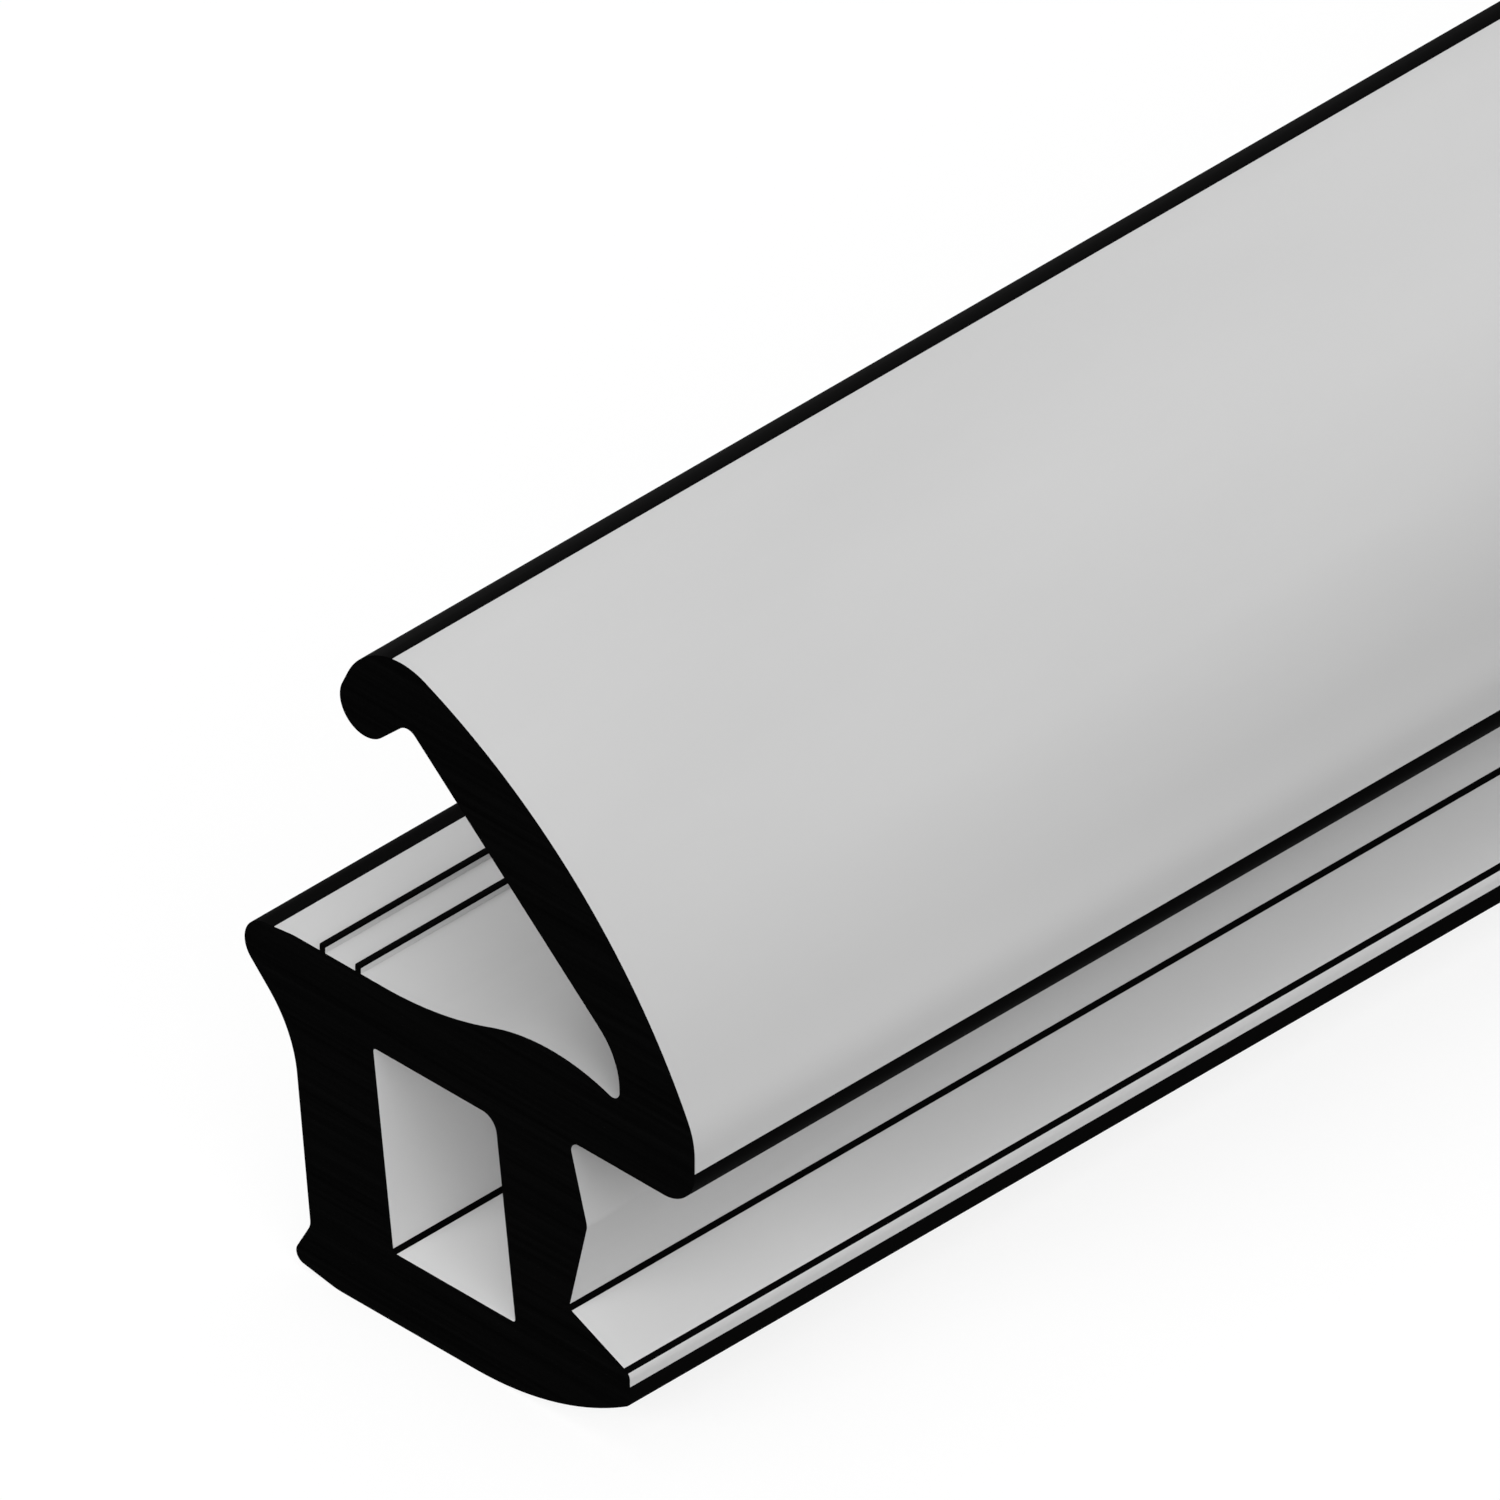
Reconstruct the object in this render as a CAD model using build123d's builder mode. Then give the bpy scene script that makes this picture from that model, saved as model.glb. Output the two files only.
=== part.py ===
from build123d import *
import math
import os

# Door frame seal: one length of extruded elastomer with a hollow push-in foot, a shoulder that covers the
# edges of the groove, and a curved sealing lip that ends in a bead.
# X runs across the section from its middle, Y along the stock and Z up from the flat base of the foot.

# Stock
length = 1000.0
overall_width = 14.04

# Foot, from its flat base up to the underside of the shoulder
foot_height = 7.645
neck_left_x = -4.96
neck_width = 8.06
wall_lean = 6.2
armpit_drop = 1.365
armpit_radius = 3.1

# Left barb, a short hook under the leaning wall
left_barb_height = 1.32
left_barb_reach = 0.6
left_barb_tip_z = 0.24
left_barb_root_radius = 0.4
left_barb_tip_radius = 0.27
heel_x = -4.13
heel_radius = 2.0

# Right barb, the long fin over the rounded belly, which starts to the left of the right wall's line
belly_start_x = -1.75
belly_start_angle = 13.0
belly_start_radius = 0.8
belly_radius = 14.5
right_barb_reach = 1.9
right_barb_root_z = 3.12
right_barb_tip_z = 2.26
right_barb_root_radius = 0.1
right_barb_top_radius = 0.25
right_barb_low_radius = 0.37

# Ridge half way up the right wall, which grips the side of the groove
ridge_reach = 0.57
ridge_z = 5.59
ridge_radius = 0.4

# Hollow chamber in the foot
left_wall = 2.59
right_wall = 1.67
floor_thickness = 1.88
roof_thickness = 1.8
chamber_lean = 7.0
chamber_corner_radius = 0.08
chamber_soft_radius = 0.45

# Shoulder, with its nose on the left and its tip under the lip on the right
land_thickness = 1.245
land_corner_radius = 1.5
nose_radius = 0.68
nose_drop = 0.79
nose_slope_width = 0.86
shoulder_tip_radius = 0.97
shoulder_corner_radius = 0.15
sag_radius = 9.89
hump_radius = 5.6
hump_rise = 0.91
hump_setback = 2.12

# Two fine ribs along the land, placed from its corner behind the nose
rib_offsets = (0.89, 2.0)
rib_width = 0.18
rib_height = 0.21
rib_edge_radius = 0.05

# Sealing lip
lip_edge_height = 1.905
lip_edge_lean = 24.5
lip_edge_radius = 2.0
lip_radius = 16.24
lip_sweep = 42.45
lip_root_thickness = 2.35
lip_root_height = 0.38
lip_root_radius = 1.82
lip_floor_radius = 0.12
lip_tip_thickness = 1.5

# Bead along the free edge of the lip
bead_upper_radius = 1.85
bead_upper_sweep = 87.8
bead_side_length = 0.42
bead_lower_radius = 0.77
bead_lower_sweep = 158.4
bead_notch_radius = 0.34


def heading(angle):
    """Unit vector at an angle in degrees from +X."""
    return Vector(1, 0).rotate(Axis.Z, angle)


def tangent_angle(center, radius, point, side):
    """Angle on a circle where the line from an outside point touches it, on its side 1 or -1."""
    offset = Vector(*point) - Vector(*center)
    spread = math.degrees(math.acos(radius / offset.length))
    return (math.degrees(math.atan2(offset.Y, offset.X)) + side * spread) % 360


def crossing(start, direction, line_start, line_end):
    """Point where a ray from start meets the straight line through two other points."""
    along = line_end - line_start
    gap = line_start - start
    reach = (gap.X * along.Y - gap.Y * along.X) / (direction.X * along.Y - direction.Y * along.X)
    return start + direction * reach


def round_corners(sketch, corner_radii):
    """Fillet the vertices of a sketch that lie at the given corners, each with its own radius."""
    for corner, radius in corner_radii:
        fillet(sketch.vertices().sort_by_distance(corner)[0], radius)


# Left side of the foot
armpit_z = foot_height - armpit_drop
wall_shift = (armpit_z - left_barb_height) * math.tan(math.radians(wall_lean))
armpit = (neck_left_x - wall_shift, armpit_z)
left_barb_root = (neck_left_x, left_barb_height)
left_barb_tip = (neck_left_x - left_barb_reach, left_barb_tip_z)
heel = (heel_x, 0)

# Belly and right side of the foot, up to the tip of the shoulder
neck_right_x = neck_left_x + neck_width
barb_tip_x = neck_right_x + right_barb_reach
tip_x = overall_width / 2
belly_start = (neck_right_x + belly_start_x, 0)
belly_end_sine = (barb_tip_x - belly_start[0]) / belly_radius + math.sin(math.radians(belly_start_angle))
belly_turn = math.degrees(math.asin(belly_end_sine)) - belly_start_angle
barb_top = (barb_tip_x, right_barb_tip_z)
barb_root = (neck_right_x, right_barb_root_z)
ridge = (neck_right_x + ridge_reach, ridge_z)
shoulder_corner = (neck_right_x, foot_height)
shoulder_tip = (tip_x, foot_height)

# Lip, whose outer side starts above the shoulder's tip and whose inner side rises from the shoulder's hump
lip_edge = (tip_x, foot_height + lip_edge_height)
lip_root_x = tip_x - lip_root_thickness

# Nose, round and tangent to both the land's slope and the underside that runs down to the armpit
land_z = foot_height + land_thickness
nose_center = (nose_radius - overall_width / 2, land_z - nose_drop)
land_corner = (nose_center[0] + nose_slope_width, land_z)
nose_start = tangent_angle(nose_center, nose_radius, land_corner, 1)
nose_end = tangent_angle(nose_center, nose_radius, armpit, -1)

# The land runs into a sagging curve and then over a hump, both tangent to each other
hump_x = lip_root_x - hump_setback
hump_z = land_z + hump_rise - hump_radius
sag_z = land_z + sag_radius
curve_span = sag_radius + hump_radius
sag_x = hump_x - math.sqrt(curve_span**2 - (sag_z - hump_z) ** 2)
curve_turn = math.degrees(math.asin((hump_x - sag_x) / curve_span))
hump_end_turn = math.degrees(math.asin(hump_setback / hump_radius))
hump_end_z = hump_z + math.sqrt(hump_radius**2 - hump_setback**2)
lip_root_center = (lip_root_x - lip_root_radius, hump_end_z + lip_root_height)

# Chamber, between the foot's walls, its floor and the shoulder
chamber_top_z = land_z - roof_thickness
chamber_shift = (chamber_top_z - floor_thickness) * math.tan(math.radians(chamber_lean))
chamber_left_x = neck_left_x + left_wall
chamber_right_x = neck_right_x - right_wall
chamber_low_left = (chamber_left_x, floor_thickness)
chamber_low_right = (chamber_right_x, floor_thickness)
chamber_top_right = (chamber_right_x - chamber_shift, chamber_top_z)
chamber_top_left = (chamber_left_x - chamber_shift, chamber_top_z)

with BuildPart() as seal_profile:
    with BuildSketch(Plane.XZ) as section:
        with BuildLine():
            # Foot: base, belly, right barb and the ridged right wall
            Line(heel, belly_start)
            belly = JernArc(belly_start, heading(belly_start_angle), belly_radius, belly_turn)
            Polyline(belly @ 1, barb_top, barb_root, ridge, shoulder_corner, shoulder_tip, lip_edge)
            # Lip: outer curve, then round the bead to its underside
            lip_outer = JernArc(lip_edge, heading(90 + lip_edge_lean), lip_radius, lip_sweep)
            bead_upper = JernArc(lip_outer @ 1, lip_outer % 1, bead_upper_radius, bead_upper_sweep)
            bead_side = Line(bead_upper @ 1, bead_upper @ 1 + (bead_upper % 1) * bead_side_length)
            bead_lower = JernArc(bead_side @ 1, bead_side % 1, bead_lower_radius, bead_lower_sweep)
            # Lip: inner side, straight from the notch behind the bead and then round into its upright root
            lip_inner_end = lip_outer @ 1 + (lip_outer % 1).rotate(Axis.Z, 90) * lip_tip_thickness
            lip_root_turn = tangent_angle(lip_root_center, lip_root_radius, lip_inner_end, -1)
            lip_root = CenterArc(lip_root_center, lip_root_radius, 0, lip_root_turn)
            notch = crossing(bead_lower @ 1, bead_lower % 1, lip_root @ 1, lip_inner_end)
            Polyline(bead_lower @ 1, notch, lip_root @ 1)
            # Shoulder: hump, sag, land, nose and the leaning left wall
            hump = CenterArc((hump_x, hump_z), hump_radius, 90 - hump_end_turn, hump_end_turn + curve_turn)
            Line(lip_root @ 0, hump @ 0)
            sag = CenterArc((sag_x, sag_z), sag_radius, -90, curve_turn)
            nose = CenterArc(nose_center, nose_radius, nose_start, nose_end - nose_start)
            Polyline(sag @ 0, land_corner, nose @ 0)
            Polyline(nose @ 1, armpit, left_barb_root, left_barb_tip, heel)
        make_face()
        foot_corners = [
            (heel, heel_radius),
            (belly_start, belly_start_radius),
            (belly @ 1, right_barb_low_radius),
            (barb_top, right_barb_top_radius),
            (barb_root, right_barb_root_radius),
            (ridge, ridge_radius),
            (armpit, armpit_radius),
            (left_barb_root, left_barb_root_radius),
            (left_barb_tip, left_barb_tip_radius),
        ]
        shoulder_and_lip_corners = [
            (shoulder_corner, shoulder_corner_radius),
            (shoulder_tip, shoulder_tip_radius),
            (lip_edge, lip_edge_radius),
            (notch, bead_notch_radius),
            (hump @ 0, lip_floor_radius),
            (land_corner, land_corner_radius),
        ]
        round_corners(section, foot_corners + shoulder_and_lip_corners)

        # Ribs, half sunk in the land
        with Locations([(land_corner[0] + offset, land_z) for offset in rib_offsets]):
            RectangleRounded(rib_width, 2 * rib_height, rib_edge_radius)

        # Chamber, with one softer corner
        with BuildLine():
            Polyline(chamber_low_left, chamber_low_right, chamber_top_right, chamber_top_left, close=True)
        make_face(mode=Mode.SUBTRACT)
        chamber_corners = [
            (chamber_low_left, chamber_corner_radius),
            (chamber_low_right, chamber_corner_radius),
            (chamber_top_right, chamber_soft_radius),
            (chamber_top_left, chamber_corner_radius),
        ]
        round_corners(section, chamber_corners)
    extrude(amount=length / 2, both=True)

seal_profile.part.label = "seal_profile"

os.makedirs("parts", exist_ok=True)
export_step(seal_profile.part, "parts/seal_profile.step")

size = seal_profile.part.bounding_box().size
print(f"section {size.X:.2f} by {size.Z:.2f} mm, {size.Y:.0f} mm long, {seal_profile.part.volume / 1000:.1f} cm3")
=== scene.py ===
# %% [markdown]
# # Door frame seal
#
# A door frame seal is one length of extruded elastomer: a hollow foot that is pushed into a groove of the frame,
# a shoulder that covers the groove's edges, and a curved lip that ends in a bead and presses on the door.
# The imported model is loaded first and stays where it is. It says where the seal lies, and how long it is.

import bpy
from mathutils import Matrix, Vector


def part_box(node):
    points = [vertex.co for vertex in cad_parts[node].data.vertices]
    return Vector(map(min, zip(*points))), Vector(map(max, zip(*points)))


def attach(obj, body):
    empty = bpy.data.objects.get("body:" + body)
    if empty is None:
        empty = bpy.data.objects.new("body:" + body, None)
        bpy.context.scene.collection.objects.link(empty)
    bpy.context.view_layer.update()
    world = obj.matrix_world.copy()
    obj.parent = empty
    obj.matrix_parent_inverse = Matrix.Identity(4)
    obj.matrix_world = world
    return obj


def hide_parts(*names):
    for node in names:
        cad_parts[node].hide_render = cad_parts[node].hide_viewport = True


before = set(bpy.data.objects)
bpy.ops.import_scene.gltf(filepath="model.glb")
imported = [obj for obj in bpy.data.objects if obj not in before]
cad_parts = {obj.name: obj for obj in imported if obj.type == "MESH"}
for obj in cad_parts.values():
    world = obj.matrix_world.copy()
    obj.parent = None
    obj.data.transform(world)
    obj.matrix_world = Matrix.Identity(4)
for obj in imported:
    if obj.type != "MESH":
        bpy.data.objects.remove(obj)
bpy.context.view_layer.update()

# %% [markdown]
# ## Camera
#
# The view is a true isometric one, with parallel edges that stay parallel, so the camera is orthographic. It stands
# 45 degrees round from the cut end and looks down at 35.264 degrees, the angle at which all three axes look equally
# long. The picture is centred on a point up and to the right of the cut face, so that the stock runs out of the frame.

# %% Camera
import math

import bpy
from mathutils import Vector

MM = 0.001
IMAGE_PIXELS = 1500
MM_PER_PIXEL = 0.022045
VIEW_AZIMUTH = 45.0
VIEW_ELEVATION = math.degrees(math.atan(1 / math.sqrt(2)))
VIEW_CENTRE_MM = (8.74, 21.0)
CAMERA_DISTANCE = 0.4
CAMERA_CLIP = (0.01, 20.0)

seal_low, seal_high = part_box("seal_profile")
cut_y = seal_low.y


def direction_to(azimuth, elevation):
    """Unit vector that points from the seal towards a place round it. Azimuth 0 is in front of the cut end."""
    a, e = math.radians(azimuth), math.radians(elevation)
    return Vector((math.sin(a) * math.cos(e), -math.cos(a) * math.cos(e), math.sin(e)))


def add_to_scene(name, data):
    """Put a new object into the scene."""
    item = bpy.data.objects.new(name, data)
    bpy.context.scene.collection.objects.link(item)
    return item


def stand_at(item, azimuth, elevation, distance, target):
    """Place a camera or a lamp at a distance from a target, and turn it to face the target."""
    towards = direction_to(azimuth, elevation)
    item.location = target + towards * distance
    item.rotation_euler = (-towards).to_track_quat("-Z", "Y").to_euler()


camera = add_to_scene("camera", bpy.data.cameras.new("camera"))
camera.data.type = "ORTHO"
camera.data.ortho_scale = IMAGE_PIXELS * MM_PER_PIXEL * MM
camera.data.clip_start, camera.data.clip_end = CAMERA_CLIP
view_centre = Vector((VIEW_CENTRE_MM[0] * MM, cut_y, VIEW_CENTRE_MM[1] * MM))
stand_at(camera, VIEW_AZIMUTH, VIEW_ELEVATION, CAMERA_DISTANCE, view_centre)
bpy.context.scene.camera = camera
print(f"camera sees {camera.data.ortho_scale / MM:.2f} mm across, looking down {VIEW_ELEVATION:.2f} degrees")

# %% [markdown]
# ## Floor and light
#
# The seal stands on a plain white floor under a soft sky. A broad lamp straight above and one from the side make the
# top of the lip the brightest part, a low one in front of the cut end reaches into the chamber and under the lip, and
# a weak low one on the left keeps the hidden sides from going dark. Sun lamps suit long stock, because they light both
# ends alike. To the camera the floor is mostly white by itself, with enough of the real light left in it to keep the
# seal's shadow.

# %% Floor
FLOOR_SIZE = 8.0
FLOOR_DROP_MM = 0.02
FLOOR_PALE = (0.5, 0.5, 0.5, 1.0)
PURE_WHITE = (1.0, 1.0, 1.0, 1.0)
FLOOR_OWN_WHITE = 0.8
FLOOR_OWN_LEVEL = 1.03


def wire(tree, source, target):
    """Join one socket to another."""
    tree.links.new(source, target)


def tree_node(tree, kind, inputs=None, **settings):
    """Add a node, set it up, and fill its inputs with values or with the sockets that feed them."""
    made = tree.nodes.new(kind)
    for key, value in settings.items():
        setattr(made, key, value)
    for key, value in (inputs or {}).items():
        if isinstance(value, bpy.types.NodeSocket):
            wire(tree, value, made.inputs[key])
        else:
            made.inputs[key].default_value = value
    return made


def result(tree, kind, inputs=None, **settings):
    """Add a node in the same way, and give back its first output."""
    return tree_node(tree, kind, inputs, **settings).outputs[0]


def emptied_tree(owner):
    """Node tree of a new material or world, cleared of what is in it at first."""
    owner.use_nodes = True
    owner.node_tree.nodes.clear()
    return owner.node_tree


def seen_directly(tree):
    """A value of 1 for rays from the camera, and for reflections and refractions of them."""
    rays = tree_node(tree, "ShaderNodeLightPath").outputs
    seen = rays["Is Camera Ray"]
    for kind in ("Is Glossy Ray", "Is Transmission Ray"):
        seen = result(tree, "ShaderNodeMath", {0: seen, 1: rays[kind]}, operation="MAXIMUM")
    return seen


def white_floor_material():
    """Pale matt floor that the camera sees as white with a faint shadow."""
    material = bpy.data.materials.new("white_floor")
    tree = emptied_tree(material)
    pale = result(tree, "ShaderNodeBsdfDiffuse", {"Color": FLOOR_PALE})
    lit_white = result(tree, "ShaderNodeBsdfDiffuse", {"Color": PURE_WHITE})
    own_white = result(tree, "ShaderNodeEmission", {"Color": PURE_WHITE, "Strength": FLOOR_OWN_LEVEL})
    shown = result(tree, "ShaderNodeMixShader", {"Fac": FLOOR_OWN_WHITE, 1: lit_white, 2: own_white})
    choice = result(tree, "ShaderNodeMixShader", {"Fac": seen_directly(tree), 1: pale, 2: shown})
    tree_node(tree, "ShaderNodeOutputMaterial", {"Surface": choice})
    return material


half = FLOOR_SIZE / 2
floor_z = -FLOOR_DROP_MM * MM
floor_mesh = bpy.data.meshes.new("floor")
floor_corners = [(-half, -half, floor_z), (half, -half, floor_z), (half, half, floor_z), (-half, half, floor_z)]
floor_mesh.from_pydata(floor_corners, [], [(0, 1, 2, 3)])
floor_mesh.materials.append(white_floor_material())
floor = add_to_scene("floor", floor_mesh)
print(f"floor is {FLOOR_SIZE:.0f} m square, {FLOOR_DROP_MM} mm under the seal")

# %% Sky and lamps
SKY_LEVEL = 0.3
LAMPS = {
    "high_lamp": {"azimuth": 45, "elevation": 90, "strength": 0.48, "spread": 60},
    "side_lamp": {"azimuth": 60, "elevation": 40, "strength": 1.08, "spread": 50},
    "front_lamp": {"azimuth": 0, "elevation": 20, "strength": 2.35, "spread": 40},
    "left_lamp": {"azimuth": 260, "elevation": 6, "strength": 0.55, "spread": 30},
}
LAMP_DISTANCE = 1.0


def white_sky():
    """White world that lights the seal at a set level and looks white to the camera."""
    world = bpy.data.worlds.new("white_sky")
    tree = emptied_tree(world)
    sky = result(tree, "ShaderNodeBackground", {"Color": PURE_WHITE, "Strength": SKY_LEVEL})
    backdrop = result(tree, "ShaderNodeBackground", {"Color": PURE_WHITE})
    choice = result(tree, "ShaderNodeMixShader", {"Fac": seen_directly(tree), 1: sky, 2: backdrop})
    tree_node(tree, "ShaderNodeOutputWorld", {"Surface": choice})
    return world


def soft_lamp(name, azimuth, elevation, strength, spread):
    """Broad, even lamp from one side, the same all along the stock."""
    lamp = add_to_scene(name, bpy.data.lights.new(name, "SUN"))
    lamp.data.energy = strength
    lamp.data.angle = math.radians(spread)
    stand_at(lamp, azimuth, elevation, LAMP_DISTANCE, Vector((0, 0, 0)))
    print(f"{name}: {elevation} degrees up, strength {strength}")


bpy.context.scene.world = white_sky()
bpy.context.scene.view_settings.view_transform = "Standard"
for name, lamp_settings in LAMPS.items():
    soft_lamp(name, **lamp_settings)

# %% [markdown]
# ## Section of the seal: how it is drawn
#
# Everything along the seal comes from one section, the shape of the hole in the extrusion die. It is drawn in
# millimetres from straight runs and arcs, in the order in which a cutter would follow them, and its corners are rounded
# afterwards. A point is one complex number, x + z·i, because then turning a direction is one multiplication. Arcs are
# split so finely that no chord is more than a thousandth of a millimetre from its arc.

# %% Lines and arcs
ARC_TOLERANCE_MM = 0.001


def heading(angle):
    """Unit step at an angle in degrees from +X."""
    return complex(math.cos(math.radians(angle)), math.sin(math.radians(angle)))


def arc_about(center, radius, start_angle, turn):
    """Points on an arc about a centre, ends included. A positive turn goes anticlockwise."""
    finest = 2 * math.degrees(math.acos(1 - ARC_TOLERANCE_MM / radius))
    steps = max(2, math.ceil(abs(turn) / finest))
    return [center + radius * heading(start_angle + turn * i / steps) for i in range(steps + 1)]


def arc_onwards(start, angle, radius, turn):
    """Points on an arc that leaves a start point at an angle and bends to the left."""
    return arc_about(start + radius * heading(angle + 90), radius, angle - 90, turn)


def tangent_angle(center, radius, point, side):
    """Angle on a circle where the line from an outside point touches it, on its side 1 or -1."""
    offset = point - center
    spread = math.degrees(math.acos(radius / abs(offset)))
    return (math.degrees(math.atan2(offset.imag, offset.real)) + side * spread) % 360


def crossing(start, direction, line_start, line_end):
    """Point where a ray from start meets the straight line through two other points."""
    along = line_end - line_start
    gap = line_start - start
    reach = (gap.conjugate() * along).imag / (direction.conjugate() * along).imag
    return start + direction * reach


print("a quarter of a 1 mm arc has", len(arc_about(0, 1, 0, 90)), "points")

# %% [markdown]
# ## Foot
#
# The foot goes into the frame's groove. Its flat base runs into a rounded belly that ends in the long right barb. The
# left side leans and ends in a short hook. Both grip the groove, and so does the ridge half way up the right wall. The
# solid model's flat is a millimetre longer, because the part stands on it. Here the belly is one arc that leaves the
# base without a corner, a few hundredths of a millimetre away from the solid.

# %% Foot
SEAL_LENGTH_MM = (seal_high.y - seal_low.y) / MM
OVERALL_WIDTH = 14.04
FOOT_HEIGHT = 7.645
NECK_LEFT_X = -4.96
NECK_RIGHT_X = 3.1
WALL_LEAN = 6.2
ARMPIT_DROP = 1.365
LEFT_BARB_HEIGHT = 1.32
LEFT_BARB_REACH = 0.6
LEFT_BARB_TIP_Z = 0.24
HEEL_X = -4.13
BELLY_START_X = 0.18
BELLY_RADIUS = 8.91
RIGHT_BARB_REACH = 1.9
RIGHT_BARB_ROOT_Z = 3.12
RIGHT_BARB_TIP_Z = 2.26
RIDGE_REACH = 0.57
RIDGE_Z = 5.59

armpit_z = FOOT_HEIGHT - ARMPIT_DROP
wall_shift = (armpit_z - LEFT_BARB_HEIGHT) * math.tan(math.radians(WALL_LEAN))
armpit = complex(NECK_LEFT_X - wall_shift, armpit_z)
left_barb_root = complex(NECK_LEFT_X, LEFT_BARB_HEIGHT)
left_barb_tip = complex(NECK_LEFT_X - LEFT_BARB_REACH, LEFT_BARB_TIP_Z)
heel = complex(HEEL_X, 0)
barb_tip_x = NECK_RIGHT_X + RIGHT_BARB_REACH
belly_turn = math.degrees(math.asin((barb_tip_x - BELLY_START_X) / BELLY_RADIUS))
belly = arc_about(complex(BELLY_START_X, BELLY_RADIUS), BELLY_RADIUS, -90, belly_turn)
barb_top = complex(barb_tip_x, RIGHT_BARB_TIP_Z)
barb_root = complex(NECK_RIGHT_X, RIGHT_BARB_ROOT_Z)
ridge = complex(NECK_RIGHT_X + RIDGE_REACH, RIDGE_Z)
print(f"foot is {barb_tip_x - left_barb_tip.real:.2f} mm across its barbs and {FOOT_HEIGHT} mm high")

# %% [markdown]
# ## Shoulder
#
# The shoulder rests on the frame's face on both sides of the groove. On the left it ends in a round nose, and a flat
# land with two fine ribs leads from there into a shallow sag and over a hump to the root of the lip. The sag and the
# hump are arcs that touch each other, so the skin has no kink between them.

# %% Shoulder
LAND_THICKNESS = 1.245
NOSE_RADIUS = 0.68
NOSE_DROP = 0.79
NOSE_SLOPE_WIDTH = 0.86
SAG_RADIUS = 9.89
HUMP_RADIUS = 5.6
HUMP_RISE = 0.91
HUMP_SETBACK = 2.12
LIP_ROOT_THICKNESS = 2.35
RIB_OFFSETS = (0.89, 2.0)
RIB_WIDTH = 0.18
RIB_HEIGHT = 0.21
RIB_EDGE_RADIUS = 0.05

land_z = FOOT_HEIGHT + LAND_THICKNESS
tip_x = OVERALL_WIDTH / 2
lip_root_x = tip_x - LIP_ROOT_THICKNESS
nose_center = complex(NOSE_RADIUS - tip_x, land_z - NOSE_DROP)
land_corner = complex(nose_center.real + NOSE_SLOPE_WIDTH, land_z)
nose_start = tangent_angle(nose_center, NOSE_RADIUS, land_corner, 1)
nose_end = tangent_angle(nose_center, NOSE_RADIUS, armpit, -1)
nose = arc_about(nose_center, NOSE_RADIUS, nose_start, nose_end - nose_start)

hump_center = complex(lip_root_x - HUMP_SETBACK, land_z + HUMP_RISE - HUMP_RADIUS)
curve_span = SAG_RADIUS + HUMP_RADIUS
sag_z = land_z + SAG_RADIUS
sag_center = complex(hump_center.real - math.sqrt(curve_span**2 - (sag_z - hump_center.imag) ** 2), sag_z)
curve_turn = math.degrees(math.asin((hump_center - sag_center).real / curve_span))
hump_end_turn = math.degrees(math.asin(HUMP_SETBACK / HUMP_RADIUS))
hump = arc_about(hump_center, HUMP_RADIUS, 90 - hump_end_turn, hump_end_turn + curve_turn)
sag = arc_about(sag_center, SAG_RADIUS, -90 + curve_turn, -curve_turn)


def rib_outline(center_x):
    """Sides and rounded top of a fine rib on the land, from right to left."""
    half_width = RIB_WIDTH / 2
    reach, edge_z = half_width - RIB_EDGE_RADIUS, land_z + RIB_HEIGHT - RIB_EDGE_RADIUS
    right = arc_about(complex(center_x + reach, edge_z), RIB_EDGE_RADIUS, 0, 90)
    left = arc_about(complex(center_x - reach, edge_z), RIB_EDGE_RADIUS, 90, 90)
    return [complex(center_x + half_width, land_z)] + right + left + [complex(center_x - half_width, land_z)]


rib_centers = [land_corner.real + offset for offset in RIB_OFFSETS]
land = rib_outline(rib_centers[1]) + rib_outline(rib_centers[0])
print(f"land {land_z:.2f} mm up, hump {land_z + HUMP_RISE:.2f} mm, ribs at", [round(x, 2) for x in rib_centers])

# %% [markdown]
# ## Lip and bead
#
# The lip is one long arc outside and a straight run inside, so it thins towards its free edge. Near the root the inside
# bends down in an arc that the straight run touches. The bead is two arcs with a short straight side between them, and
# a small notch behind it.

# %% Lip and bead
LIP_EDGE_HEIGHT = 1.905
LIP_EDGE_LEAN = 24.5
LIP_RADIUS = 16.24
LIP_SWEEP = 42.45
LIP_ROOT_HEIGHT = 0.38
LIP_ROOT_RADIUS = 1.82
LIP_TIP_THICKNESS = 1.5
BEAD_UPPER_RADIUS = 1.85
BEAD_UPPER_SWEEP = 87.8
BEAD_SIDE_LENGTH = 0.42
BEAD_LOWER_RADIUS = 0.77
BEAD_LOWER_SWEEP = 158.4

lip_edge = complex(tip_x, FOOT_HEIGHT + LIP_EDGE_HEIGHT)
bead_angle = 90 + LIP_EDGE_LEAN + LIP_SWEEP
side_angle = bead_angle + BEAD_UPPER_SWEEP
under_angle = side_angle + BEAD_LOWER_SWEEP
lip_outer = arc_onwards(lip_edge, 90 + LIP_EDGE_LEAN, LIP_RADIUS, LIP_SWEEP)
bead_upper = arc_onwards(lip_outer[-1], bead_angle, BEAD_UPPER_RADIUS, BEAD_UPPER_SWEEP)
bead_lower_start = bead_upper[-1] + heading(side_angle) * BEAD_SIDE_LENGTH
bead_lower = arc_onwards(bead_lower_start, side_angle, BEAD_LOWER_RADIUS, BEAD_LOWER_SWEEP)
lip_inner_end = lip_outer[-1] + heading(bead_angle + 90) * LIP_TIP_THICKNESS
root_center = complex(lip_root_x - LIP_ROOT_RADIUS, hump[0].imag + LIP_ROOT_HEIGHT)
root_turn = tangent_angle(root_center, LIP_ROOT_RADIUS, lip_inner_end, -1)
lip_root = arc_about(root_center, LIP_ROOT_RADIUS, root_turn, -root_turn)
notch = crossing(bead_lower[-1], heading(under_angle), lip_root[0], lip_inner_end)
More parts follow.
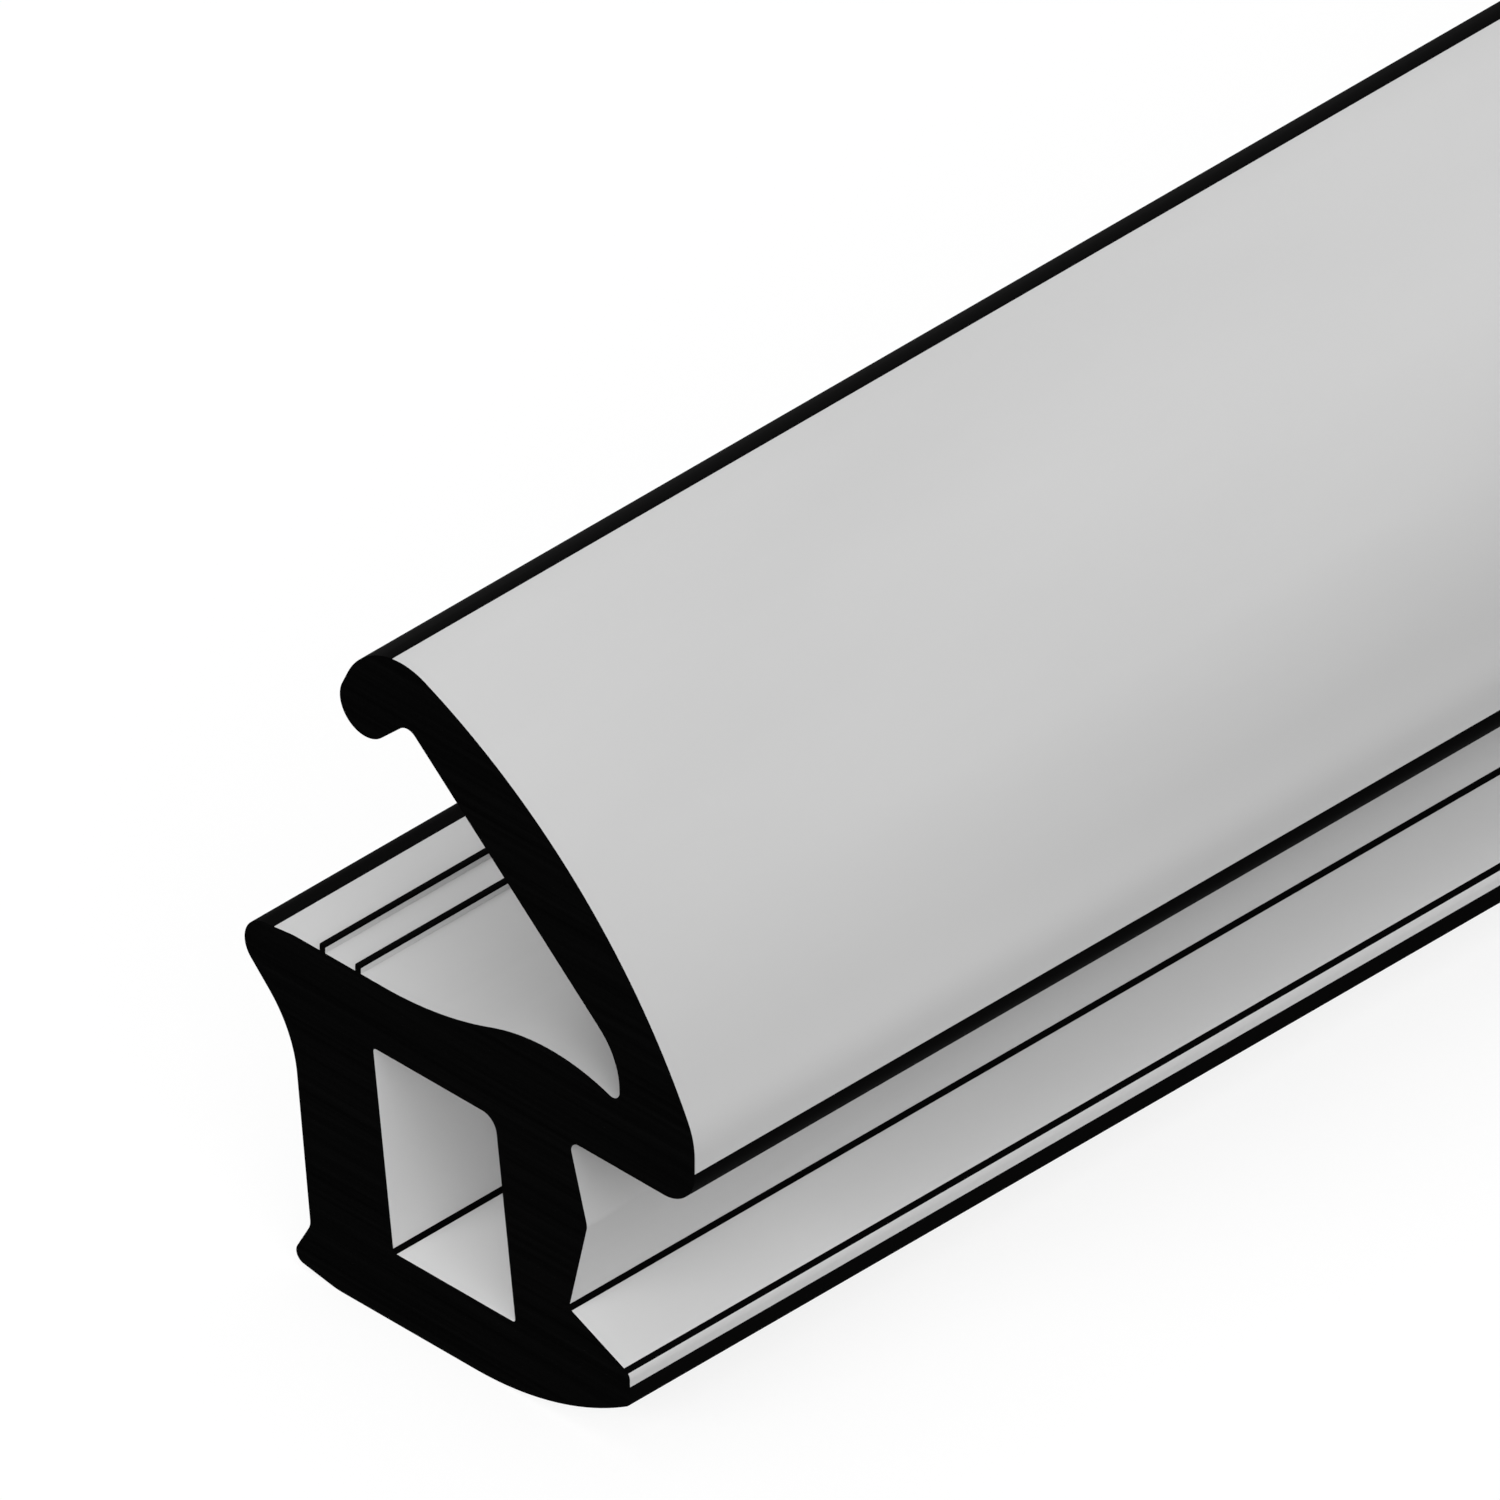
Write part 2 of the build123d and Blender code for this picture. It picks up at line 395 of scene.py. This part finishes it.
print(f"lip reaches {max(p.imag for p in bead_upper):.2f} mm up, bead to X {min(p.real for p in bead_upper):.2f}")

# %% [markdown]
# ## Rounded corners
#
# A corner is rounded as a die maker rounds it, with a ball that rolls into it until it touches both sides. The ball's
# centre is found by trying how far along the first side it has to sit, and halving the doubt thirty times. That works
# the same way on straight sides and on arcs. Three radii are closer to the photo than the solid's: the one at the
# barb's lower corner, the one under the shoulder and the one at the lip's root.

# %% Outline with rounded corners
BALL_TRIES = 30
REACH_ALLOWANCE = 1.6


def along(side, distance):
    """Point at a distance along an open run of points, and the direction there."""
    for start, end in zip(side, side[1:]):
        step = abs(end - start)
        if distance <= step and step > 0:
            return start + (end - start) * distance / step, (end - start) / step
        distance -= step
    return side[-1], (side[-1] - side[-2]) / abs(side[-1] - side[-2])


def nearest(side, point):
    """Distance from a point to an open run of points, the nearest place on it and the number of the segment."""
    best = None
    for number, (start, end) in enumerate(zip(side, side[1:])):
        span = end - start
        share = ((point - start).conjugate() * span).real / abs(span) ** 2
        place = start + span * min(1, max(0, share))
        if best is None or abs(point - place) < best[0]:
            best = (abs(point - place), place, number)
    return best


def run_length(side):
    """Length of an open run of points."""
    return sum(abs(end - start) for start, end in zip(side, side[1:]))


def first_part(side, length):
    """First part of an open run, up to the point that lies past a length."""
    kept = [side[0]]
    for point in side[1:]:
        kept.append(point)
        length -= abs(kept[-1] - kept[-2])
        if length < 0:
            break
    return kept


def round_corner(loop, corner, radius):
    """Closed loop of points with an arc in place of one of its corners."""
    place = min(range(len(loop)), key=lambda i: abs(loop[i] - corner))
    loop = loop[place:] + loop[:place]
    turning = (loop[1] - loop[0]) / (loop[0] - loop[-1])
    turn = math.atan2(turning.imag, turning.real)
    inside = -1j if turn > 0 else 1j
    reach = REACH_ALLOWANCE * radius * math.tan(abs(turn) / 2)
    after = first_part(loop + loop[:1], reach)
    before = first_part([loop[0]] + loop[:0:-1], reach)
    low, high = 0.0, reach
    for _ in range(BALL_TRIES):
        middle = (low + high) / 2
        touch, direction = along(before, middle)
        center = touch + direction * inside * radius
        if nearest(after, center)[0] < radius:
            low = middle
        else:
            high = middle
    end_touch, end_number = nearest(after, center)[1:]
    start_number = nearest(before, touch)[2]
    start_angle = math.degrees(math.atan2((touch - center).imag, (touch - center).real))
    swing = (end_touch - center) / (touch - center)
    bend = math.degrees(math.atan2(swing.imag, swing.real))
    return arc_about(center, radius, start_angle, bend) + loop[end_number + 1 : len(loop) - start_number]


shoulder_corner = complex(NECK_RIGHT_X, FOOT_HEIGHT)
shoulder_tip = complex(tip_x, FOOT_HEIGHT)
outline = [heel] + belly + [barb_top, barb_root, ridge, shoulder_corner, shoulder_tip]
outline += lip_outer + bead_upper[1:] + bead_lower + [notch] + lip_root + hump + sag[1:]
outline += land + [land_corner] + nose + [armpit, left_barb_root, left_barb_tip]
outline_corner_radii = {
    heel: 2.0,
    belly[-1]: 0.2,
    barb_top: 0.25,
    barb_root: 0.1,
    ridge: 0.4,
    armpit: 3.1,
    left_barb_root: 0.4,
    left_barb_tip: 0.27,
    shoulder_corner: 0.22,
    shoulder_tip: 0.97,
    lip_edge: 2.0,
    notch: 0.34,
    hump[0]: 0.22,
    land_corner: 1.5,
}
for corner, radius in outline_corner_radii.items():
    outline = round_corner(outline, corner, radius)
print(len(outline), "points round the outline")

# %% [markdown]
# ## Chamber
#
# The foot is hollow, so that its walls can give way when it is pushed into the groove. The chamber leans to the left
# with the foot's wall and has one softer corner at its top right.

# %% Chamber
LEFT_WALL = 2.59
RIGHT_WALL = 1.67
FLOOR_THICKNESS = 1.88
ROOF_THICKNESS = 1.8
CHAMBER_LEAN = 7.0

chamber_left_x = NECK_LEFT_X + LEFT_WALL
chamber_right_x = NECK_RIGHT_X - RIGHT_WALL
chamber_top_z = land_z - ROOF_THICKNESS
chamber_shift = (chamber_top_z - FLOOR_THICKNESS) * math.tan(math.radians(CHAMBER_LEAN))
chamber_corner_radii = {
    complex(chamber_left_x, FLOOR_THICKNESS): 0.08,
    complex(chamber_left_x - chamber_shift, chamber_top_z): 0.08,
    complex(chamber_right_x - chamber_shift, chamber_top_z): 0.45,
    complex(chamber_right_x, FLOOR_THICKNESS): 0.08,
}
chamber = list(chamber_corner_radii)
for corner, radius in chamber_corner_radii.items():
    chamber = round_corner(chamber, corner, radius)


def loop_area(loop):
    """Area inside a closed loop of points, positive when it runs anticlockwise."""
    return sum((a.conjugate() * b).imag for a, b in zip(loop, loop[1:] + loop[:1])) / 2


print(f"section area {loop_area(outline) + loop_area(chamber):.3f} square mm, chamber {-loop_area(chamber):.2f}")

# %% [markdown]
# ## Black edge stripes
#
# The edges of the seal are set off by black stripes that are extruded together with the grey skin: broad ones round
# the bead, the nose, the shoulder's tip and the barb's tip, and fine ones on the ribs and in three corners. They are
# flush with the skin, so they are made by colour and not by shape. Each is given by the two places on the section
# between which it runs, in the order of the outline. The section gets a point at each of them, so its edge is sharp.

# %% Stripe limits along the section
RIB_STRIPE_START = 0.147


def rib_stripe(center_x):
    """Limits of the stripe that runs from the upper part of a rib's right side over its top to the land."""
    return (center_x + RIB_WIDTH / 2, land_z + RIB_STRIPE_START), (center_x - RIB_WIDTH / 2, land_z)


OUTLINE_STRIPES = {
    "barb_tip": ((4.3, 1.02), (5.0, 1.92)),
    "barb_edge": ((4.943, 2.259), (4.815, 2.344)),
    "barb_root": ((3.183, 3.082), (3.128, 3.24)),
    "shoulder_tip": ((5.95, 7.645), (7.02, 8.675)),
    "bead": ((-2.42, 17.9), (-3.93, 16.41)),
    "second_rib": rib_stripe(rib_centers[1]),
    "first_rib": rib_stripe(rib_centers[0]),
    "nose": ((-6.098, 8.818), (-6.98, 7.87)),
}
CHAMBER_STRIPES = {"chamber_corner": ((-2.27, 1.88), (-2.38, 1.98))}
SAME_PLACE_MM = 0.0005


def place_along(loop, point):
    """How far along a closed loop the place nearest to a point is."""
    closed = loop + loop[:1]
    place, number = nearest(closed, point)[1:]
    return run_length(closed[: number + 1]) + abs(place - closed[number])


def striped(loop, stripes):
    """Closed loop with points added at the stripes' ends, and for each point a 1 in a stripe and a 0 outside."""
    closed = loop + loop[:1]
    total = run_length(closed)
    spans = []
    for first, last in stripes.values():
        start = place_along(loop, complex(*first))
        spans.append((start, (place_along(loop, complex(*last)) - start) % total))
    ends = [(start + width) % total for start, width in spans]
    gaps = [end + min((start - end) % total for start, _ in spans) / 2 for end in ends]
    places = [run_length(closed[: i + 1]) for i in range(len(loop))]
    for place in [start for start, _ in spans] + ends + gaps:
        if min(abs(place % total - other) for other in places) > SAME_PLACE_MM:
            places.append(place % total)
    places.sort()
    widened = [(start - SAME_PLACE_MM, width + 2 * SAME_PLACE_MM) for start, width in spans]
    marks = [float(any((place - start) % total < width for start, width in widened)) for place in places]
    return [along(closed, place)[0] for place in places], marks


outline, outline_marks = striped(outline, OUTLINE_STRIPES)
chamber, chamber_marks = striped(chamber, CHAMBER_STRIPES)
print(int(sum(outline_marks)), "of", len(outline), "outline points lie in a stripe")

# %% [markdown]
# ## Painted shade in the corners, painted light in the chamber and down the foot
#
# Shade is painted into the skin's colour in the corner between the hump and the lip and in the one under the shoulder,
# and it fades along the skin on both sides of it. A trace of painted shade lies low on the lip's outer side. Inside the
# chamber light is painted in, so the skin there is paler, and so it is on the foot, the deeper it sits in the groove.
# Both could be painted by hand, but a value at each point of the section is simpler, since it is extruded together with
# the shape.

# %% Painted shade and painted light along the section
# places where shade is painted into the skin's colour, darkest in the middle and fading along the skin
PAINTED_SHADE_PLACES = {
    "lip_root": {"middle": (4.67, 9.5), "reach": 8.2, "most": 1.0},
    "under_shoulder": {"middle": (3.1, 7.645), "reach": 3.3, "most": 1.0},
    "lip_outside": {"middle": (6.45, 10.69), "reach": 3.2, "most": 0.18},
}
# painted light: the skin down the foot is made paler, the deeper it sits in the groove
GROOVE_PAINTED_LIGHT = 0.55
GROOVE_PAINTED_LIGHT_DEPTH = 5.4


def painted_shade_along(loop, painted_shade_places):
    """Painted shade at each point of a loop: most in the middle of a shaded place, and less along the skin, down to 0.
    """
    places = [run_length(loop[: i + 1]) for i in range(len(loop))]
    painted_shades = [0.0] * len(loop)
    for painted_dark in painted_shade_places.values():
        middle = place_along(loop, complex(*painted_dark["middle"]))
        for i, place in enumerate(places):
            painted_shades[i] = max(painted_shades[i], painted_dark["most"] * (1 - abs(place - middle) / painted_dark["reach"]))
    return painted_shades


def painted_light_at(point):
    """How much light is painted into the skin at a point of the outline: 0 above the groove, more the deeper it sits in
    it.
    """
    return GROOVE_PAINTED_LIGHT * min(1.0, max(0.0, (FOOT_HEIGHT - point.imag) / GROOVE_PAINTED_LIGHT_DEPTH))


outline_painted_shade = painted_shade_along(outline, PAINTED_SHADE_PLACES)
outline_painted_light = [painted_light_at(point) for point in outline]
print(sum(painted_shade > 0 for painted_shade in outline_painted_shade), "outline points are grimy")
print(sum(added_light > 0 for added_light in outline_painted_light), "outline points are sheltered by the groove")

# %% [markdown]
# ## Extrusion with Geometry Nodes
#
# A main piece whose shape follows one rule is made by a node tree: the section is swept along a straight line. A die
# does the same. The tree takes the section as loose edges, sweeps them for the sides, and fills them for the two cut
# ends. A face of the sides takes the mean of its points' marks, so it lies in a stripe where that mean is nearly 1.
# Sides and ends are then merged into one closed skin. Sizes stay inputs of the tree, so the length can be changed in
# one place.

# %% Section as loose edges
def section_wire(loops, marks):
    """Mesh with one closed ring of edges for each loop, upright across the stock, with its marks."""
    points, edges = [], []
    for loop in loops:
        first = len(points)
        points += [(p.real * MM, 0.0, p.imag * MM) for p in loop]
        edges += [(first + i, first + (i + 1) % len(loop)) for i in range(len(loop))]
    mesh = bpy.data.meshes.new("seal_section")
    mesh.from_pydata(points, edges, [])
    for name, values in marks.items():
        mesh.attributes.new(name, "FLOAT", "POINT").data.foreach_set("value", values)
    return mesh


seal_marks = {
    "stripe": outline_marks + chamber_marks,
    # painted shade, carried along the piece with the section
    "painted_shade": outline_painted_shade + [0.0] * len(chamber),
    # painted light, 1 in the chamber and growing down the foot, carried along the piece with the section
    "painted_light": outline_painted_light + [1.0] * len(chamber),
}
seal = add_to_scene("door_seal", section_wire([outline, chamber], seal_marks))
print(len(seal.data.vertices), "points in the section")

# %% Node tree that extrudes the section
STATIONS = 41
MERGE_DISTANCE_MM = 0.0005
SMOOTH_ANGLE = 32.0
WHOLE_STRIPE = 0.99


def mark_faces(tree, mesh, name, value):
    """Store a yes or no on each face, under a name."""
    marked = {"Geometry": mesh, "Name": name, "Value": value}
    return result(tree, "GeometryNodeStoreNamedAttribute", marked, data_type="BOOLEAN", domain="FACE")


def extrusion_tree(materials):
    """Tree that turns a wire section into closed stock with cut ends, with materials for skin, stripes and cuts."""
    tree = bpy.data.node_groups.new("extrude_seal", "GeometryNodeTree")
    tree.is_modifier = True
    tree.interface.new_socket("Section", in_out="INPUT", socket_type="NodeSocketGeometry")
    tree.interface.new_socket("Length", in_out="INPUT", socket_type="NodeSocketFloat")
    tree.interface.new_socket("Stations", in_out="INPUT", socket_type="NodeSocketInt")
    tree.interface.new_socket("Seal", in_out="OUTPUT", socket_type="NodeSocketGeometry")
    given = tree.nodes.new("NodeGroupInput").outputs

    front = result(tree, "ShaderNodeMath", {0: given["Length"], 1: -0.5}, operation="MULTIPLY")
    back = result(tree, "ShaderNodeMath", {0: given["Length"], 1: 0.5}, operation="MULTIPLY")
    front_place = result(tree, "ShaderNodeCombineXYZ", {"Y": front})
    back_place = result(tree, "ShaderNodeCombineXYZ", {"Y": back})

    path = result(tree, "GeometryNodeCurvePrimitiveLine", {"Start": front_place, "End": back_place})
    path = result(tree, "GeometryNodeResampleCurve", {"Curve": path, "Count": given["Stations"]})
    path = result(tree, "GeometryNodeSetCurveNormal", {"Curve": path}, mode="Z_UP")
    ring = result(tree, "GeometryNodeMeshToCurve", {"Mesh": given["Section"]})
    ring = result(tree, "GeometryNodeTransform", {"Geometry": ring, "Rotation": (math.pi / 2, 0, 0)})
    sides = result(tree, "GeometryNodeCurveToMesh", {"Curve": path, "Profile Curve": ring})
    sides = result(tree, "GeometryNodeFlipFaces", {"Mesh": sides})
    mark = result(tree, "GeometryNodeInputNamedAttribute", {"Name": "stripe"}, data_type="FLOAT")
    whole = result(tree, "FunctionNodeCompare", {"A": mark, "B": WHOLE_STRIPE}, operation="GREATER_THAN")
    sides = mark_faces(tree, sides, "in_stripe", whole)

    face = result(tree, "GeometryNodeFillCurve", {"Curve": ring}, mode="TRIANGLES")
    face = mark_faces(tree, face, "in_cut", True)
    stand_up = {"Geometry": face, "Rotation": (-math.pi / 2, 0, 0)}
    front_cut = result(tree, "GeometryNodeTransform", {**stand_up, "Translation": front_place})
    back_cut = result(tree, "GeometryNodeTransform", {**stand_up, "Translation": back_place})
    front_cut = result(tree, "GeometryNodeFlipFaces", {"Mesh": front_cut})

    joined = tree_node(tree, "GeometryNodeJoinGeometry")
    for piece in (sides, front_cut, back_cut):
        wire(tree, piece, joined.inputs[0])
    merge = {"Geometry": joined.outputs[0], "Distance": MERGE_DISTANCE_MM * MM}
    skin = result(tree, "GeometryNodeMergeByDistance", merge)
    bend = result(tree, "GeometryNodeInputMeshEdgeAngle")
    soft = result(tree, "FunctionNodeCompare", {"A": bend, "B": math.radians(SMOOTH_ANGLE)}, operation="LESS_THAN")
    skin = result(tree, "GeometryNodeSetShadeSmooth", {"Geometry": skin, "Shade Smooth": soft}, domain="EDGE")

    skin = result(tree, "GeometryNodeRealizeInstances", {"Geometry": skin})
    skin = result(tree, "GeometryNodeSetMaterial", {"Geometry": skin, "Material": materials[0]})
    for name, material in zip(("in_stripe", "in_cut"), materials[1:]):
        chosen = result(tree, "GeometryNodeInputNamedAttribute", {"Name": name}, data_type="BOOLEAN")
        painted = {"Geometry": skin, "Selection": chosen, "Material": material}
        skin = result(tree, "GeometryNodeSetMaterial", painted)
    tree_node(tree, "NodeGroupOutput", {0: skin})
    return tree


print(f"{STATIONS} rings of points, one every {SEAL_LENGTH_MM / (STATIONS - 1):.0f} mm")

# %% [markdown]
# ## Light grey elastomer skin
#
# The skin is a smooth, matt, light grey rubber. Three things keep it from looking like plastic film: fine lines along
# the stock, left by the die, a faint cloudiness where the surface has bloomed, and a very fine grain. All are noise on
# the piece's own coordinates. A noise of scale 1 has features of about half a metre, and most of its values lie between
# 0.3 and 0.7, so its scale is set from a real size and its values are spread out before they set a colour or a
# roughness. For the die lines the noise is stretched a hundredfold along the stock. The relief is a few thousandths of
# a millimetre, so it only breaks up the sheen. Last come the two values that the section's points carry: painted light,
# which makes the skin paler inside the chamber and down the foot, and painted shade, which makes it darker in two
# corners and low on the lip.

# %% Grey skin
SKIN_GREY = (0.60, 0.60, 0.60)
SKIN_GREY_BLOOM = (0.645, 0.645, 0.645)
# painted light: the pale grey that the skin is lightened towards inside the chamber and down the foot
PAINTED_LIGHT_GREY = (0.86, 0.86, 0.86)
# painted shade: the dark grey that the skin is darkened towards in two corners and low on the lip
PAINTED_SHADE_GREY = (0.225, 0.225, 0.225)
SKIN_GLOSS = 0.32
SKIN_ROUGHNESS = (0.54, 0.66)
BLOOM_CLOUDS = {"size_mm": 4.0, "stretch": (1, 4, 1), "detail": 4}
DIE_LINES = {"size_mm": 0.16, "stretch": (1, 100, 1), "detail": 2}
DIE_LINE_RELIEF = {"depth_mm": 0.006, "strength": 0.5}
GRAIN = {"size_mm": 0.05, "detail": 2}
GRAIN_RELIEF = {"depth_mm": 0.002, "strength": 0.4}
NOISE_SIZE = 0.5
NOISE_LOW, NOISE_HIGH = 0.3, 0.7


def principled_material(name, **constants):
    """New material whose shader has the given constants, and its tree and shader."""
    material = bpy.data.materials.new(name)
    material.use_nodes = True
    tree = material.node_tree
    shader = tree.nodes["Principled BSDF"]
    for socket, value in constants.items():
        shader.inputs[socket.replace("_", " ")].default_value = value
    return material, tree, shader


def noise_on_piece(tree, size_mm, detail, stretch=(1, 1, 1), turn=(0, 0, 0)):
    """Noise with features of about a size, on the piece's own coordinates, stretched along each axis."""
    place = tree_node(tree, "ShaderNodeTexCoord").outputs["Object"]
    scale = tuple(1 / s for s in stretch)
    mapped = result(tree, "ShaderNodeMapping", {"Vector": place, "Scale": scale, "Rotation": turn})
    settings = {"Vector": mapped, "Scale": NOISE_SIZE / (size_mm * MM), "Detail": detail}
    return tree_node(tree, "ShaderNodeTexNoise", settings, noise_dimensions="3D").outputs["Fac"]


def between(tree, noise, low, high):
    """Noise spread over a range, from low to high."""
    spread = {"Value": noise, "From Min": NOISE_LOW, "From Max": NOISE_HIGH, "To Min": low, "To Max": high}
    return result(tree, "ShaderNodeMapRange", spread)


def tint(tree, value, first, second):
    """Colour between two colours, each a constant or a socket that gives one."""
    ends = [(*colour, 1) if isinstance(colour, tuple) else colour for colour in (first, second)]
    return tree_node(tree, "ShaderNodeMix", {0: value, 6: ends[0], 7: ends[1]}, data_type="RGBA").outputs[2]


def carried(tree, name):
    """Value that the section's points carry along the piece."""
    return tree_node(tree, "ShaderNodeAttribute", attribute_name=name).outputs["Fac"]


def relief(tree, height, depth_mm, strength, under=None):
    """Bump of a real depth, on top of another bump if there is one."""
    bump = {"Height": height, "Distance": depth_mm * MM, "Strength": strength}
    if under is not None:
        bump["Normal"] = under
    return result(tree, "ShaderNodeBump", bump)


def grey_skin_material():
    """Light grey matt elastomer with die lines and bloom, and with painted light and painted shade from the section."""
    material, tree, shader = principled_material("elastomer_skin", Specular_IOR_Level=SKIN_GLOSS)
    clouds = noise_on_piece(tree, **BLOOM_CLOUDS)
    lines = noise_on_piece(tree, **DIE_LINES)
    grain = noise_on_piece(tree, **GRAIN)
    grey = tint(tree, between(tree, clouds, 0, 1), SKIN_GREY, SKIN_GREY_BLOOM)
    # painted light: the skin is made paler inside the chamber and down the foot
    grey = tint(tree, carried(tree, "painted_light"), grey, PAINTED_LIGHT_GREY)
    # painted shade: the skin is made darker in two corners and low on the lip's outer side
    grey = tint(tree, carried(tree, "painted_shade"), grey, PAINTED_SHADE_GREY)
    wire(tree, grey, shader.inputs["Base Color"])
    wire(tree, between(tree, lines, *SKIN_ROUGHNESS), shader.inputs["Roughness"])
    fine = relief(tree, grain, **GRAIN_RELIEF)
    wire(tree, relief(tree, lines, **DIE_LINE_RELIEF, under=fine), shader.inputs["Normal"])
    return material


skin_material = grey_skin_material()
print("skin:", len(skin_material.node_tree.nodes), "nodes")

# %% [markdown]
# ## Black stripes and black cut
#
# The stripes are the same elastomer filled with carbon black, a little rougher than the grey and with hardly any
# gloss. The whole section is black inside, so the two cut ends are black as well. A blade leaves fine parallel
# scratches on rubber, slanted to the section, and they are made by noise stretched along one direction.

# %% Black stripe and cut
STRIPE_BLACK = (0.0012, 0.0012, 0.0012)
STRIPE_BLACK_WORN = (0.0025, 0.0025, 0.0025)
CUT_BLACK = (0.0004, 0.0004, 0.0004)
CUT_BLACK_SCRATCHED = (0.0014, 0.0014, 0.0014)
BLACK_GLOSS = 0.006
STRIPE_ROUGHNESS = (0.62, 0.76)
CUT_ROUGHNESS = (0.78, 0.95)
SCRATCH_SLANT = math.radians(24)
SCRATCHES = {"size_mm": 0.06, "stretch": (60, 60, 1), "detail": 3, "turn": (0, SCRATCH_SLANT, 0)}
SCRATCH_RELIEF = {"depth_mm": 0.01, "strength": 0.6}
SPECKLE = {"size_mm": 0.05, "detail": 3}


def black_stripe_material():
    """Black co-extruded edge, slightly rougher than the skin and with less gloss."""
    material, tree, shader = principled_material("black_edge_stripe", Specular_IOR_Level=BLACK_GLOSS)
    lines = noise_on_piece(tree, **DIE_LINES)
    black = tint(tree, between(tree, lines, 0, 1), STRIPE_BLACK, STRIPE_BLACK_WORN)
    wire(tree, black, shader.inputs["Base Color"])
    wire(tree, between(tree, lines, *STRIPE_ROUGHNESS), shader.inputs["Roughness"])
    wire(tree, relief(tree, lines, **DIE_LINE_RELIEF), shader.inputs["Normal"])
    return material


def black_cut_material():
    """Black elastomer as the blade leaves it, with fine slanted scratches."""
    material, tree, shader = principled_material("black_cut_face", Specular_IOR_Level=BLACK_GLOSS)
    scratches = noise_on_piece(tree, **SCRATCHES)
    speckle = noise_on_piece(tree, **SPECKLE)
    black = tint(tree, between(tree, scratches, 0, 1), CUT_BLACK, CUT_BLACK_SCRATCHED)
    wire(tree, black, shader.inputs["Base Color"])
    wire(tree, between(tree, speckle, *CUT_ROUGHNESS), shader.inputs["Roughness"])
    wire(tree, relief(tree, scratches, **SCRATCH_RELIEF), shader.inputs["Normal"])
    return material


stripe_material = black_stripe_material()
cut_material = black_cut_material()
print("stripe and cut materials are ready")

# %% [markdown]
# ## Extrude and bake
#
# The tree is put on the section as a modifier, its inputs are set, and the result is turned into a plain mesh. The
# checks print what a die shop would ask for: the volume per metre, and whether the skin is closed.

# %% Run the extrusion
import bmesh

CM3_PER_M3 = 1e6


def set_input(modifier, name, value):
    """Set a modifier's input by the name of its socket."""
    for item in modifier.node_group.interface.items_tree:
        if item.item_type == "SOCKET" and item.in_out == "INPUT" and item.name == name:
            modifier[item.identifier] = value


def bake_tree(piece):
    """Turn what the piece's modifiers make into its own plain mesh."""
    depsgraph = bpy.context.evaluated_depsgraph_get()
    baked = bpy.data.meshes.new_from_object(piece.evaluated_get(depsgraph), depsgraph=depsgraph)
    piece.modifiers.clear()
    piece.data = baked
    for slot in reversed(range(len(baked.materials))):
        if baked.materials[slot] is None:
            baked.materials.pop(index=slot)
    for name in ("stripe", "in_stripe", "in_cut"):
        if name in baked.attributes:
            baked.attributes.remove(baked.attributes[name])


extrude = seal.modifiers.new("extrude_seal", "NODES")
extrude.node_group = extrusion_tree([skin_material, stripe_material, cut_material])
set_input(extrude, "Length", SEAL_LENGTH_MM * MM)
set_input(extrude, "Stations", STATIONS)
bake_tree(seal)

checked = bmesh.new()
checked.from_mesh(seal.data)
open_edges = sum(not edge.is_manifold for edge in checked.edges)
volume = checked.calc_volume(signed=True) * CM3_PER_M3
checked.free()
print(f"{len(seal.data.polygons)} faces, {open_edges} open edges, {volume:.2f} cm3")
print("materials:", [m.name for m in seal.data.materials])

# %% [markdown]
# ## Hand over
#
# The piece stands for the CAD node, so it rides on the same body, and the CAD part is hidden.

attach(seal, "root")
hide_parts("seal_profile")
